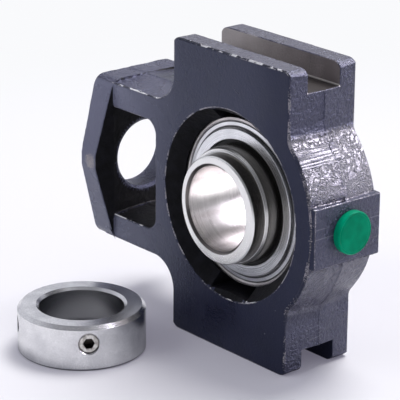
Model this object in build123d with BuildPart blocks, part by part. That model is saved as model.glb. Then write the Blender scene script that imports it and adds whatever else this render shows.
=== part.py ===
# Take-up bearing unit: a cast guide housing that slides between two rails and carries
# a self-aligning ball bearing insert, with the eccentric locking collar taken off and
# standing beside it. Millimetres. The origin is the centre of the bearing: +X points to
# the grease boss, -X to the adjusting screw, -Y out of the locking side, +Z up.
from build123d import *
from math import cos, radians, sin, sqrt, tan
import os

os.makedirs("parts", exist_ok=True)

# Guide body of the housing
housing_height = 89.8
groove_floor_distance = 76.0
groove_width = 12.0
rail_length = 51.6
rail_corner_radius = 3.5
body_width = 25.0
draft_angle = 4.0
face_edge_radius = 0.7
corner_fillet = 8.0
notch_fillet = 2.5

# Hub and grease boss
hub_rim = 7.2
boss_rise = 0.4
boss_height = 18.0
boss_drop = 0.6
grease_hole_offset = 1.0
grease_thread_diameter = 6.0
grease_thread_depth = 6.5
grease_drill_diameter = 2.5

# Arms and screw end
screw_face_distance = 62.0
arm_height = 51.0
window_height = 32.0
window_corner_radius = 3.0
hub_wall = 5.6
end_plate_thickness = 9.0
end_plate_rim = 7.0
end_plate_width = 36.6
end_plate_shoulder = 25.2
end_plate_nose = 4.0
end_plate_corner_radius = 4.5
screw_hole_diameter = 21.0
screw_hole_chamfer = 0.8
screw_hole_land = 2.0

# Spherical seat, recess and loading slots
bearing_diameter = 52.0
seat_clearance = 0.04
seat_width = 16.4
recess_radius = 28.6
slot_clearance = 0.5
slot_depth = 1.0
grease_groove_width = 4.6
grease_groove_depth = 0.8
grease_groove_place = 2.4

# Bearing insert
shaft_diameter = 25.0
outer_ring_width = 15.0
inner_ring_width = 34.9
cam_step = 1.3
cam_length = 4.4
cam_offset = 0.8
cam_direction = 345.0
bore_chamfer = 0.8
ring_chamfer = 0.4
ball_count = 9
ball_diameter = 7.938
race_clearance = 0.08
outer_race_depth = 1.119
inner_race_depth = 1.919
seal_seat_wall = 1.195
seal_seat_depth = 1.9
ring_grease_hole_diameter = 1.5
ring_grease_hole_place = 4.3

# Ribbon cage
cage_sheet = 0.7
cage_band_width = 3.4
pocket_clearance = 0.12
rivet_diameter = 1.0
rivet_head_diameter = 1.8
rivet_head_height = 0.35
rivet_fit = 0.02

# Seals: a pressed steel shield with a rubber lip behind its inner edge
shield_sheet = 0.6
shield_rim = 1.0
shield_fit = 0.05
shield_band = 1.45
shield_step = 1.0
shield_gap = 1.4
shield_hem = 0.5
lip_clearance = 0.08
lip_edge = 0.5
lip_thickness = 0.9
lip_overlap = 0.9

# Locking collar, standing on the same surface as the housing
collar_wall = 6.25
collar_width = 13.5
collar_chamfer = 1.1
collar_foot_chamfer = 0.4
collar_recess_clearance = 0.15
collar_recess_margin = 0.4
screw_drop = 0.5
collar_centre_x = -29.6
collar_centre_y = -42.9
set_screw_direction = -30.7
set_screw_diameter = 6.0
set_screw_length = 5.2
set_screw_fit = 0.05
set_screw_sink = 0.5
set_screw_tip_chamfer = 0.8
set_screw_head_chamfer = 0.4
hex_width = 3.0
hex_depth = 2.6
screw_mouth_chamfer = 0.3
drift_hole_diameter = 5.0
drift_hole_depth = 3.2

# Grease hole plug
plug_head_diameter = 12.6
plug_head_height = 2.2
plug_head_edge = 0.35
plug_shank_length = 5.5
plug_shank_tip = 0.5
plug_fit = 0.05

# Sizes that follow from the ones above
half_width = body_width / 2
floor_height = -housing_height / 2
hub_radius = recess_radius + hub_rim
boss_reach = hub_radius + boss_rise
boss_front = half_width - face_edge_radius / 2
grease_hole_mouth = (boss_reach, grease_hole_offset, -boss_drop)
seat_radius = bearing_diameter / 2 + seat_clearance
window_edge = -(recess_radius + hub_wall)
end_plate_inner = -screw_face_distance + end_plate_thickness
end_plate_rim_inner = -screw_face_distance + end_plate_rim
end_plate_flat = screw_hole_diameter + 2 * screw_hole_land
ball_radius = ball_diameter / 2
pitch_radius = (shaft_diameter + bearing_diameter) / 4
groove_radius = ball_radius + race_clearance
shoulder_radius = pitch_radius + ball_radius - outer_race_depth
inner_ring_radius = pitch_radius - ball_radius + inner_race_depth
cam_radius = inner_ring_radius - cam_step
ring_half = outer_ring_width / 2
nose = inner_ring_width / 2
outer_face_radius = sqrt((bearing_diameter / 2) ** 2 - ring_half ** 2)
seal_seat_radius = outer_face_radius - seal_seat_wall
seal_seat = ring_half - seal_seat_depth
ball_step = 360 / ball_count

# Housing, screw end: the plate is thick round the hole and thins to its two rims
with BuildPart() as screw_end:
    with BuildSketch(Plane.XY):
        with BuildLine():
            Polyline(
                (-screw_face_distance, -end_plate_width / 2),
                (end_plate_rim_inner, -end_plate_width / 2),
                (end_plate_inner, -end_plate_flat / 2),
                (end_plate_inner, end_plate_flat / 2),
                (end_plate_rim_inner, end_plate_width / 2),
                (-screw_face_distance, end_plate_width / 2),
                close=True,
            )
        make_face()
    extrude(amount=arm_height / 2, both=True)
    # Seen from the end, the front rim bulges from the arms to the screw
    with BuildSketch(Plane.YZ.offset(-screw_face_distance)) as screw_end_outline:
        with BuildLine():
            Polyline(
                (-end_plate_shoulder / 2, -arm_height / 2),
                (-end_plate_width / 2, -end_plate_nose / 2),
                (-end_plate_width / 2, end_plate_nose / 2),
                (-end_plate_shoulder / 2, arm_height / 2),
                (end_plate_width / 2, arm_height / 2),
                (end_plate_width / 2, -arm_height / 2),
                close=True,
            )
        make_face()
        fillet(screw_end_outline.vertices().group_by(Axis.Y)[0], radius=end_plate_corner_radius)
        fillet(screw_end_outline.vertices().group_by(Axis.Y)[-1], radius=end_plate_corner_radius)
    extrude(amount=end_plate_thickness, mode=Mode.INTERSECT)
    fillet(screw_end.faces().sort_by(Axis.X)[0].outer_wire().edges(), radius=face_edge_radius)

# Housing: one iron casting, drafted from the parting plane to both faces
with BuildPart() as housing:
    with BuildSketch(Plane.XZ) as body_outline:
        Circle(hub_radius)
        Rectangle(hub_radius, 2 * hub_radius, align=(Align.MAX, Align.CENTER), mode=Mode.SUBTRACT)
        Rectangle(rail_length, 2 * housing_height)
        Rectangle(screw_face_distance - end_plate_rim / 2, arm_height, align=(Align.MAX, Align.CENTER))
        for rail_edge, radius in ((rail_length / 2, notch_fillet), (-rail_length / 2, corner_fillet)):
            corners = body_outline.vertices().filter_by_position(Axis.Y, -hub_radius, hub_radius)
            near_edge = sorted((0.99 * rail_edge, 1.01 * rail_edge))
            fillet(corners.filter_by_position(Axis.X, *near_edge), radius=radius)
    extrude(amount=half_width, both=True, taper=draft_angle)
    # The rails' own faces are square, with rounded ends
    with BuildSketch(Plane.XZ):
        RectangleRounded(rail_length, housing_height, rail_corner_radius)
        Rectangle(3 * screw_face_distance, groove_floor_distance)
    extrude(amount=half_width, both=True, mode=Mode.INTERSECT)
    # Window between the arms
    with BuildSketch(Plane.XZ):
        with Locations((window_edge, 0)):
            RectangleRounded(
                2 * (screw_face_distance + window_edge),
                window_height,
                window_corner_radius,
                align=(Align.MAX, Align.CENTER),
            )
    extrude(amount=half_width, both=True, taper=-draft_angle, mode=Mode.SUBTRACT)
    cast_faces = housing.faces().filter_by(Plane.XZ).group_by(Axis.Y)
    fillet(cast_faces[0].edges() + cast_faces[-1].edges(), radius=face_edge_radius)
    # Flat boss for the grease hole
    with BuildSketch(Plane.XZ.offset(boss_front)):
        with Locations((0, -boss_drop)):
            Rectangle(boss_reach, boss_height, align=(Align.MIN, Align.CENTER))
    extrude(amount=-boss_front - half_width)
    add(screw_end.part)
    # Guide grooves along the top and the bottom
    for side in (Plane.XY.offset(groove_floor_distance / 2), Plane.XY.offset(-groove_floor_distance / 2)):
        with BuildSketch(side):
            Rectangle(2 * rail_length, groove_width)
        away = 1 if side.origin.Z > 0 else -1
        extrude(amount=away * housing_height, mode=Mode.SUBTRACT)
    # Spherical seat between two flared mouths, with a grease groove round it
    with BuildSketch(Plane.XY):
        with BuildLine():
            mouth = sqrt(seat_radius ** 2 - (seat_width / 2) ** 2)
            ThreePointArc((mouth, -seat_width / 2), (seat_radius, 0), (mouth, seat_width / 2))
            Polyline(
                (mouth, seat_width / 2),
                (recess_radius, half_width),
                (recess_radius, body_width),
                (0, body_width),
                (0, -body_width),
                (recess_radius, -body_width),
                (recess_radius, -half_width),
                (mouth, -seat_width / 2),
            )
        make_face()
        with Locations((seat_radius, grease_groove_place)):
            Rectangle(2 * grease_groove_depth, grease_groove_width)
    revolve(axis=Axis.Y, mode=Mode.SUBTRACT)
    # Two slots let the outer ring in edge-on before it is turned square
    slot_width = outer_ring_width + 2 * slot_clearance
    with BuildSketch(Plane.XZ):
        Rectangle(slot_width, 2 * (seat_radius + slot_depth))
    extrude(amount=body_width, mode=Mode.SUBTRACT)
    # Hole for the adjusting screw
    with Locations(Plane(origin=(-screw_face_distance, 0, 0), z_dir=(-1, 0, 0))):
        Hole(screw_hole_diameter / 2, depth=2 * end_plate_thickness)
    hole_rims = housing.edges().filter_by(GeomType.CIRCLE)
    hole_rims = hole_rims.filter_by(lambda rim: abs(rim.radius - screw_hole_diameter / 2) < 0.01)
    chamfer(hole_rims.filter_by_position(Axis.X, -screw_face_distance - 1, end_plate_inner + 1),
            length=screw_hole_chamfer)
    # Tapped grease hole, drilled on into the groove round the seat
    with Locations(Plane(origin=grease_hole_mouth, z_dir=(1, 0, 0))):
        CounterBoreHole(
            grease_drill_diameter / 2,
            grease_thread_diameter / 2,
            grease_thread_depth,
            depth=boss_reach - seat_radius + grease_drill_diameter,
        )
housing.part.label = "housing"
export_step(housing.part, "parts/housing.step")

# Outer ring: spherical outside, deep groove inside, a step at each face for a seal
with BuildPart() as outer_ring:
    with BuildSketch(Plane.XY):
        with BuildLine():
            ThreePointArc(
                (outer_face_radius, -ring_half),
                (bearing_diameter / 2, 0),
                (outer_face_radius, ring_half),
            )
            Polyline(
                (outer_face_radius, ring_half),
                (seal_seat_radius + ring_chamfer, ring_half),
                (seal_seat_radius, ring_half - ring_chamfer),
                (seal_seat_radius, seal_seat),
                (shoulder_radius, seal_seat),
                (shoulder_radius, -seal_seat),
                (seal_seat_radius, -seal_seat),
                (seal_seat_radius, -ring_half + ring_chamfer),
                (seal_seat_radius + ring_chamfer, -ring_half),
                (outer_face_radius, -ring_half),
            )
        make_face()
        with Locations((pitch_radius, 0)):
            Circle(groove_radius, mode=Mode.SUBTRACT)
    revolve(axis=Axis.Y)
    # Grease passes from the groove in the housing through two small holes
    with BuildSketch(Plane.YZ):
        with Locations((ring_grease_hole_place, 0)):
            Circle(ring_grease_hole_diameter / 2)
    extrude(amount=bearing_diameter, both=True, mode=Mode.SUBTRACT)
outer_ring.part.label = "outer_ring"
export_step(outer_ring.part, "parts/outer_ring.step")

# Inner ring: longer than the outer one, its nose turned off centre as a locking cam
with BuildPart() as inner_ring:
    with BuildSketch(Plane.XY):
        with Locations((shaft_diameter / 2, cam_length / 2)):
            Rectangle(
                inner_ring_radius - shaft_diameter / 2,
                inner_ring_width - cam_length,
                align=(Align.MIN, Align.CENTER),
            )
        with Locations((pitch_radius, 0)):
            Circle(groove_radius, mode=Mode.SUBTRACT)
    revolve(axis=Axis.Y)
    cam_x = cam_offset * cos(radians(cam_direction))
    cam_z = cam_offset * sin(radians(cam_direction))
    with BuildSketch(Plane.XZ.offset(nose - cam_length)):
        with Locations((cam_x, cam_z)):
            Circle(cam_radius)
        Circle(shaft_diameter / 2, mode=Mode.SUBTRACT)
    extrude(amount=cam_length)
    end_faces = inner_ring.faces().filter_by(Plane.XZ).sort_by(Axis.Y)
    bore_rims = end_faces[0].inner_wires()[0].edges() + end_faces[-1].inner_wires()[0].edges()
    chamfer(bore_rims, length=bore_chamfer)
    chamfer(end_faces[-1].outer_wire().edges(), length=ring_chamfer)
inner_ring.part.label = "inner_ring"
export_step(inner_ring.part, "parts/inner_ring.step")

# Balls: evenly spaced on the pitch circle, the first one at the top
for number in range(ball_count):
    turn = radians(90 + number * ball_step)
    ball_centre = (pitch_radius * cos(turn), 0, pitch_radius * sin(turn))
    with BuildPart() as ball:
        with Locations(ball_centre):
            Sphere(ball_radius)
    ball.part.label = f"ball_{number + 1}"
    export_step(ball.part, f"parts/ball_{number + 1}.step")

# Ribbon cage: two pressed halves meet between the balls and are riveted there
cup_radius = ball_radius + pocket_clearance
with BuildPart() as cage_link:
    with Locations((pitch_radius, 0, 0)):
        Sphere(cup_radius + cage_sheet, rotation=(90, 0, 0))
    with BuildSketch(Plane.XZ) as cage_band:
        Circle(pitch_radius + cage_band_width / 2)
        Circle(pitch_radius - cage_band_width / 2, mode=Mode.SUBTRACT)
        half_reach = 2 * pitch_radius * tan(radians(ball_step / 2))
        with BuildLine():
            Polyline((0, 0), (2 * pitch_radius, -half_reach), (2 * pitch_radius, half_reach), close=True)
        make_face(mode=Mode.INTERSECT)
    extrude(amount=cup_radius + cage_sheet, mode=Mode.INTERSECT)
    extrude(cage_band.sketch, amount=cage_sheet)
    with Locations((pitch_radius, 0, 0)):
        Sphere(cup_radius, rotation=(90, 0, 0), mode=Mode.SUBTRACT)

with BuildPart() as cage_front:
    for number in range(ball_count):
        add(cage_link.part, rotation=(0, -90 - number * ball_step, 0))
    with BuildSketch(Plane.XZ):
        with PolarLocations(pitch_radius, ball_count, start_angle=90 + ball_step / 2):
            Circle(rivet_diameter / 2 + rivet_fit)
    extrude(amount=cage_sheet, mode=Mode.SUBTRACT)
cage_front.part.label = "cage_front"
export_step(cage_front.part, "parts/cage_front.step")

with BuildPart() as cage_rear:
    mirror(cage_front.part, about=Plane.XZ)
cage_rear.part.label = "cage_rear"
export_step(cage_rear.part, "parts/cage_rear.step")

with BuildPart() as cage_rivets:
    with BuildSketch(Plane.XZ):
        with PolarLocations(pitch_radius, ball_count, start_angle=90 + ball_step / 2):
            Circle(rivet_diameter / 2)
    extrude(amount=cage_sheet, both=True)
    with BuildSketch(Plane.XZ.offset(cage_sheet)):
        with PolarLocations(pitch_radius, ball_count, start_angle=90 + ball_step / 2):
            Circle(rivet_head_diameter / 2)
    extrude(amount=rivet_head_height)
    with BuildSketch(Plane.XZ.offset(-cage_sheet)):
        with PolarLocations(pitch_radius, ball_count, start_angle=90 + ball_step / 2):
            Circle(rivet_head_diameter / 2)
    extrude(amount=-rivet_head_height)
cage_rivets.part.label = "cage_rivets"
export_step(cage_rivets.part, "parts/cage_rivets.step")

# Front shield: its rim stands in the outer ring, its face steps out over the gap and
# turns back in a hem beside the inner ring
rim_radius = seal_seat_radius - shield_fit
band_face = seal_seat + shield_sheet + shield_rim
step_radius = rim_radius - shield_band - shield_sheet
hem_radius = inner_ring_radius + shield_gap
shield_face = band_face + shield_step
hem_end = shield_face - shield_sheet - shield_hem
with BuildPart() as front_shield:
    with BuildSketch(Plane.XY):
        with BuildLine():
            Polyline(
                (rim_radius, -seal_seat),
                (rim_radius, -band_face),
                (step_radius + shield_sheet, -band_face),
                (step_radius, -shield_face),
                (hem_radius, -shield_face),
                (hem_radius, -hem_end),
                (hem_radius + shield_sheet, -hem_end),
                (hem_radius + shield_sheet, -shield_face + shield_sheet),
                (step_radius - shield_sheet, -shield_face + shield_sheet),
                (step_radius, -band_face + shield_sheet),
                (rim_radius - shield_sheet, -band_face + shield_sheet),
                (rim_radius - shield_sheet, -seal_seat),
                close=True,
            )
        make_face()
    revolve(axis=Axis.Y)
front_shield.part.label = "front_shield"
export_step(front_shield.part, "parts/front_shield.step")

with BuildPart() as rear_shield:
    mirror(front_shield.part, about=Plane.XZ)
rear_shield.part.label = "rear_shield"
export_step(rear_shield.part, "parts/rear_shield.step")

# Front seal lip: a rubber ring bonded behind the hem, reaching to the inner ring
with BuildPart() as front_seal_lip:
    with BuildSketch(Plane.XY):
        with BuildLine():
            Polyline(
                (inner_ring_radius + lip_clearance, -hem_end),
                (inner_ring_radius + lip_clearance, -hem_end + lip_edge),
                (hem_radius, -hem_end + lip_thickness),
                (hem_radius + lip_overlap, -hem_end + lip_thickness),
                (hem_radius + lip_overlap, -hem_end),
                close=True,
            )
        make_face()
    revolve(axis=Axis.Y)
front_seal_lip.part.label = "front_seal_lip"
export_step(front_seal_lip.part, "parts/front_seal_lip.step")

with BuildPart() as rear_seal_lip:
    mirror(front_seal_lip.part, about=Plane.XZ)
rear_seal_lip.part.label = "rear_seal_lip"
export_step(rear_seal_lip.part, "parts/rear_seal_lip.step")

# Plug in the grease hole: a disc on the boss with a shank in the thread
with BuildPart() as grease_plug:
    with BuildSketch(Plane(origin=grease_hole_mouth, z_dir=(1, 0, 0))):
        Circle(plug_head_diameter / 2)
    extrude(amount=plug_head_height)
    chamfer(grease_plug.faces().sort_by(Axis.X)[-1].edges(), length=plug_head_edge)
    with BuildSketch(Plane(origin=grease_hole_mouth, z_dir=(-1, 0, 0))):
        Circle(grease_thread_diameter / 2 - plug_fit)
    extrude(amount=plug_shank_length)
    chamfer(grease_plug.faces().sort_by(Axis.X)[0].edges(), length=plug_shank_tip)
grease_plug.part.label = "grease_plug"
export_step(grease_plug.part, "parts/grease_plug.step")

# Locking collar: its shaft bore is uppermost, the eccentric recess for the cam is below
collar_radius = shaft_diameter / 2 + collar_wall
recess_depth = cam_length - collar_recess_margin
screw_height = (collar_width + recess_depth) / 2 - screw_drop
collar_foot = Plane(origin=(collar_centre_x, collar_centre_y, floor_height))


def collar_side(direction):
    """Plane that touches the collar's outside, facing away from its axis."""
    out_x = cos(radians(direction))
    out_y = sin(radians(direction))
    touch = (
        collar_centre_x + collar_radius * out_x,
        collar_centre_y + collar_radius * out_y,
        floor_height + screw_height,
    )
    return Plane(origin=touch, z_dir=(out_x, out_y, 0))


set_screw_side = collar_side(set_screw_direction)
drift_hole_side = collar_side(set_screw_direction - 90)
with BuildPart() as locking_collar:
    with BuildSketch(collar_foot):
        Circle(collar_radius)
    extrude(amount=collar_width)
    chamfer(locking_collar.faces().sort_by(Axis.Z)[-1].edges(), length=collar_chamfer)
    chamfer(locking_collar.faces().sort_by(Axis.Z)[0].edges(), length=collar_foot_chamfer)
    with BuildSketch(collar_foot):
        Circle(shaft_diameter / 2)
    extrude(amount=collar_width, mode=Mode.SUBTRACT)
    chamfer(locking_collar.faces().sort_by(Axis.Z)[-1].inner_wires()[0].edges(), length=bore_chamfer)
    with BuildSketch(collar_foot):
        with Locations((cam_x, cam_z)):
            Circle(cam_radius + collar_recess_clearance)
    extrude(amount=recess_depth, mode=Mode.SUBTRACT)
    with Locations(set_screw_side):
        CounterSinkHole(
            set_screw_diameter / 2 + set_screw_fit,
            set_screw_diameter / 2 + set_screw_fit + screw_mouth_chamfer,
            depth=collar_radius,
            counter_sink_angle=90,
        )
    with Locations(drift_hole_side):
        Hole(drift_hole_diameter / 2, depth=drift_hole_depth)
locking_collar.part.label = "locking_collar"
export_step(locking_collar.part, "parts/locking_collar.step")

# Set screw in the collar's side, with a hexagon socket
with BuildPart() as collar_set_screw:
    with BuildSketch(set_screw_side.offset(-set_screw_sink)):
        Circle(set_screw_diameter / 2)
    extrude(amount=-set_screw_length)
    screw_axis = Axis(set_screw_side.origin, set_screw_side.z_dir)
    screw_ends = collar_set_screw.faces().filter_by(GeomType.PLANE).sort_by(screw_axis)
    chamfer(screw_ends[0].edges(), length=set_screw_tip_chamfer)
    chamfer(screw_ends[-1].edges(), length=set_screw_head_chamfer)
    with BuildSketch(set_screw_side.offset(-set_screw_sink)):
        RegularPolygon(hex_width / 2, side_count=6, major_radius=False)
    extrude(amount=-hex_depth, mode=Mode.SUBTRACT)
collar_set_screw.part.label = "collar_set_screw"
export_step(collar_set_screw.part, "parts/collar_set_screw.step")
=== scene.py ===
from math import cos, hypot, pi, radians, sin

import bmesh
import bpy
from mathutils import Matrix, Vector, noise


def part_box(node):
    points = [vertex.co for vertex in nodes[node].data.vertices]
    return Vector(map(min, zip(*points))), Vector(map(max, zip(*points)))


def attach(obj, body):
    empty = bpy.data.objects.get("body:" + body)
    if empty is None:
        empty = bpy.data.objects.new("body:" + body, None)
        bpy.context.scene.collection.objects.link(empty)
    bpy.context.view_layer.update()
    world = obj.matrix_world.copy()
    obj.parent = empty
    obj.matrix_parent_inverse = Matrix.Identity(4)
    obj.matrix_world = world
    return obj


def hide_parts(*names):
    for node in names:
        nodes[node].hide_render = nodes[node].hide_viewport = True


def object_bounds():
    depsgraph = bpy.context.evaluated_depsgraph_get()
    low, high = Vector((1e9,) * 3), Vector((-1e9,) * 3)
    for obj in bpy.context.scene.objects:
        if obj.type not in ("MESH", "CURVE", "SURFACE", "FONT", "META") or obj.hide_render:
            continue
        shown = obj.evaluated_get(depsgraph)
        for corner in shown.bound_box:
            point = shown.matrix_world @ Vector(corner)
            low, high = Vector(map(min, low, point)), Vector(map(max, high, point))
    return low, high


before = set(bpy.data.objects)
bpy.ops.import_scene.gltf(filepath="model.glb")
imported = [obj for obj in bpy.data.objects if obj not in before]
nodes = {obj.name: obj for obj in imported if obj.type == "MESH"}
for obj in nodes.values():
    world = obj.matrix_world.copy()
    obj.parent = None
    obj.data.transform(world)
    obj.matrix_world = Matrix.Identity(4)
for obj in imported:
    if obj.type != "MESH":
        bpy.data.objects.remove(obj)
cad_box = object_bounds()


# Housing: one grey iron casting, poured in a two-part sand mould that met at the middle plane,
# then fettled and painted dark blue-grey. Only the grooves, the seat, the screw's hole and the
# boss's face are machined.
MM = 0.001
HUB_OPENING = 28.9 * MM
SEAT_WALL = 28.15 * MM
MOUTH_RIM = (28.3 * MM, 29.2 * MM)
MOUTH_WEAR = 1.7
BOSS_FACE = 36.15 * MM
GROOVE_SIDE = 6.05 * MM
GROOVE_FLOOR = 37.95 * MM
PLATE_FACE = -52.5 * MM
SCREW_HOLE = 11.8 * MM
WINDOW_HALF = 17.6 * MM
WINDOW_HUB = -30 * MM
ARM_START = -27 * MM
ARM_STEP = 0.22 * MM
FOOT = -44.85 * MM
PARTING_RIDGE = (-0.5 * MM, -0.18 * MM, 0.18 * MM, 0.5 * MM)
RIDGE_HEIGHT = 0.2 * MM
MOULD_SHIFT = 0.7 * MM
SHIFT_FROM = (20 * MM, 24 * MM)
SHIFT_WITHIN = (25.5 * MM, 29 * MM)
BOSS_MIDDLE = -0.6 * MM
BOSS_HALF = (9.1 * MM, 10.2 * MM)
LUMPS = (0.13 * MM, 0.08 * MM)
SEAM_WANDER = 0.3 * MM
WORN_EDGE = 0.22 * MM
FACET_LIMIT = 1.5 * MM
HALVINGS = 9
CREASE = radians(32)
SHARP = radians(48)
WALL_TILT = 0.35
EDGE_TILT = (0.2, 0.97)


def feed(tree, socket, value):
    """Sets a socket to a value, or links another node's output to it."""
    if isinstance(value, bpy.types.NodeSocket):
        tree.links.new(value, socket)
    else:
        socket.default_value = value


def add(tree, kind, inputs=None, **settings):
    """A node with its settings; each input is a value or another node's output."""
    node = tree.nodes.new(kind)
    for name, value in settings.items():
        setattr(node, name, value)
    for name, value in (inputs or {}).items():
        feed(tree, node.inputs[name], value)
    return node


def maths(tree, operation, first, second=0.0, third=0.0, clamp=False):
    """The result of a sum on one, two or three values."""
    node = add(tree, "ShaderNodeMath", operation=operation, use_clamp=clamp)
    for socket, value in zip(node.inputs, (first, second, third)):
        feed(tree, socket, value)
    return node.outputs[0]


def times(tree, product, *factors):
    """Several values multiplied with each other."""
    for factor in factors:
        product = maths(tree, "MULTIPLY", product, factor)
    return product


def vector_maths(tree, operation, first, second=(0.0, 0.0, 0.0)):
    """The result of a sum on one or two vectors."""
    node = add(tree, "ShaderNodeVectorMath", operation=operation)
    feed(tree, node.inputs[0], first)
    feed(tree, node.inputs[1], second)
    return node.outputs["Value" if operation in {"DISTANCE", "DOT_PRODUCT", "LENGTH"} else "Vector"]


def axes(tree, vector):
    """The X, Y and Z of a vector."""
    split = add(tree, "ShaderNodeSeparateXYZ", {"Vector": vector})
    return [split.outputs[name] for name in "XYZ"]


def ramp(tree, value, low, high, start=0.0, end=1.0):
    """A value eased from start to end while the input goes from low to high."""
    node = add(
        tree,
        "ShaderNodeMapRange",
        {"Value": value, "From Min": low, "From Max": high, "To Min": start, "To Max": end},
        interpolation_type="SMOOTHSTEP",
    )
    return node.outputs["Result"]


def blend_colour(tree, share, first, second):
    """A colour between two, which are values or other nodes' outputs."""
    node = add(tree, "ShaderNodeMix", data_type="RGBA")
    for number, value in ((0, share), (6, first), (7, second)):
        feed(tree, node.inputs[number], value)
    return node.outputs[2]


def grain(tree, here, size, detail=2.0, roughness=0.5):
    """Noise from 0 to 1 whose blotches are about as large as size, in metres."""
    node = add(
        tree,
        "ShaderNodeTexNoise",
        {"Vector": here, "Scale": 1 / size, "Detail": detail, "Roughness": roughness},
    )
    return node.outputs["Fac"]


def streaks(tree, here, per_metre, detail=2.0, tilt=0.0):
    """Noise that is drawn out into lines: it has this many blotches to a metre along each axis."""
    drawn = add(
        tree, "ShaderNodeMapping", {"Vector": here, "Scale": per_metre, "Rotation": (tilt, 0.0, 0.0)}
    )
    return grain(tree, drawn.outputs["Vector"], 1.0, detail)


def new_finish(name, **sockets):
    """A material with one shader, its tree, and the object's own coordinates."""
    finish = bpy.data.materials.new(name)
    finish.use_nodes = True
    tree = finish.node_tree
    shader = tree.nodes["Principled BSDF"]
    for socket, value in sockets.items():
        shader.inputs[socket.replace("_", " ")].default_value = value
    place = tree.nodes.new("ShaderNodeTexCoord")
    return finish, tree, shader, place


def give_bump(tree, shader, height, distance, socket="Normal"):
    """Roughens a shader's surface by a height from 0 to 1, which is distance metres high."""
    bump = add(tree, "ShaderNodeBump", {"Height": height, "Distance": distance})
    tree.links.new(bump.outputs["Normal"], shader.inputs[socket])


def eased(value, low, high):
    """0 below low, 1 above high, and an even curve between them."""
    share = min(1.0, max(0.0, (value - low) / (high - low)))
    return share * share * (3 - 2 * share)


def machined(place):
    """True where a cutter has been, and the sand's grain is gone."""
    across = hypot(place.x, place.z)
    return (
        across < HUB_OPENING
        or (abs(place.y) < GROOVE_SIDE and abs(place.z) > GROOVE_FLOOR)
        or place.x > BOSS_FACE
        or (place.x < PLATE_FACE and hypot(place.y, place.z) < SCREW_HOLE)
    )


def faces_window(place, normal):
    """True on the walls of the window between the arms, and on the end plate's inner slopes."""
    if abs(normal.y) > 0.6:
        return False
    if place.x < PLATE_FACE + 0.1 * MM:
        return normal.x > 0.3 and hypot(place.y, place.z) > SCREW_HOLE
    return abs(place.z) < WINDOW_HALF and place.x < WINDOW_HUB


def in_bearing_seat(place):
    """True inside the hub, where the seat and the loading slots are."""
    return hypot(place.x, place.z) < SEAT_WALL


def sand_lumps(place):
    """Height of the cast skin's lumps at a point, in metres."""
    coarse = noise.noise(place * 260)
    medium = noise.noise(place * 620 + Vector((3.1, 7.7, 1.3)))
    return LUMPS[0] * coarse + LUMPS[1] * medium


def mould_shift(place):
    """How far the front half of the hub stands proud of the rear half, where the mould had moved."""
    hub = eased(place.x, *SHIFT_FROM) * (1 - eased(abs(place.z), *SHIFT_WITHIN))
    off_boss = eased(abs(place.z - BOSS_MIDDLE), *BOSS_HALF)
    return MOULD_SHIFT * hub * off_boss


def level_shading(mesh, name):
    """An object of this mesh whose large flat faces are shaded flat right up to their rims."""
    draft = bpy.data.objects.new(mesh.name, mesh)
    bpy.context.scene.collection.objects.link(draft)
    weighting = draft.modifiers.new("weighting", "WEIGHTED_NORMAL")
    weighting.mode = "FACE_AREA"
    weighting.keep_sharp = True
    shaded = bpy.data.meshes.new_from_object(draft.evaluated_get(bpy.context.evaluated_depsgraph_get()))
    bpy.data.objects.remove(draft)
    bpy.data.meshes.remove(mesh)
    shaded.name = name
    piece = bpy.data.objects.new(name, shaded)
    bpy.context.scene.collection.objects.link(piece)
    return piece


RAIL_TOP = 42 * MM
FRONT_EDGE = -11 * MM
HUB_SIDE = 20 * MM
HUB_GLOSS_TOP = (27 * MM, 25.2 * MM)
GROUND_BAND = (18.0 * MM, 23.4 * MM)
KNOCK = (-57.4 * MM, -18.3 * MM, 0.0)
FILED_HEIGHT = (-36.2 * MM, -30.6 * MM)
FILED_DEPTH = (-4.6 * MM, 1.2 * MM)
FILE_STROKE = 1.15 * MM
FRONT_PAINT = ((0.0035, 0.0042, 0.0190, 1), (0.0075, 0.0085, 0.0280, 1))
LIT_SIDE_PAINT = (0.040, 0.036, 0.070, 1)
PAINTED_REAR_SHADE = (0.002, 0.002, 0.004, 1)
RUBBED_PAINT = (0.085, 0.078, 0.095, 1)
SCRATCHED_PAINT = (0.30, 0.28, 0.33, 1)
FILED_PAINT = (0.30, 0.29, 0.33, 1)
PAINTED_SHEEN = ((0.105, 0.107, 0.153, 1), (0.170, 0.173, 0.245, 1))
PAINTED_EDGE_SHADE = (0.003, 0.003, 0.005, 1)
BARED_EDGE = ((0.34, 0.32, 0.35, 1), (0.95, 0.94, 0.98, 1))
KNOCKED_IRON = (0.36, 0.32, 0.29, 1)
SPECK_IRON = (0.30, 0.29, 0.34, 1)

paint, tree, shader, place = new_finish(
    "painted_cast_iron",
    Specular_Tint=(0.61, 0.68, 1.0, 1.0),
    Specular_IOR_Level=0.78,
    Coat_Roughness=0.12,
    Coat_IOR=2.15,
    Coat_Tint=(0.92, 0.88, 1.0, 1.0),
)
here = place.outputs["Object"]
at_x, at_y, at_z = axes(tree, here)
facing_x, facing_y, facing_z = axes(tree, place.outputs["Normal"])
side = ramp(tree, maths(tree, "ABSOLUTE", facing_y), 0.85, 0.45)
flat_face = maths(tree, "SUBTRACT", 1.0, side)
blotches = grain(tree, here, 9 * MM, 3.0)
colour = blend_colour(tree, ramp(tree, blotches, 0.35, 0.7), *FRONT_PAINT)
# The walls get a much paler copy of the paint than the two flat faces, as painted light
colour = blend_colour(tree, times(tree, side, 0.8), colour, LIT_SIDE_PAINT)
# The tops of the rails have rubbed paler
rubbed = times(tree, ramp(tree, facing_z, 0.6, 0.9), maths(tree, "GREATER_THAN", at_z, RAIL_TOP))
colour = blend_colour(tree, times(tree, rubbed, 0.8), colour, RUBBED_PAINT)
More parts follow.
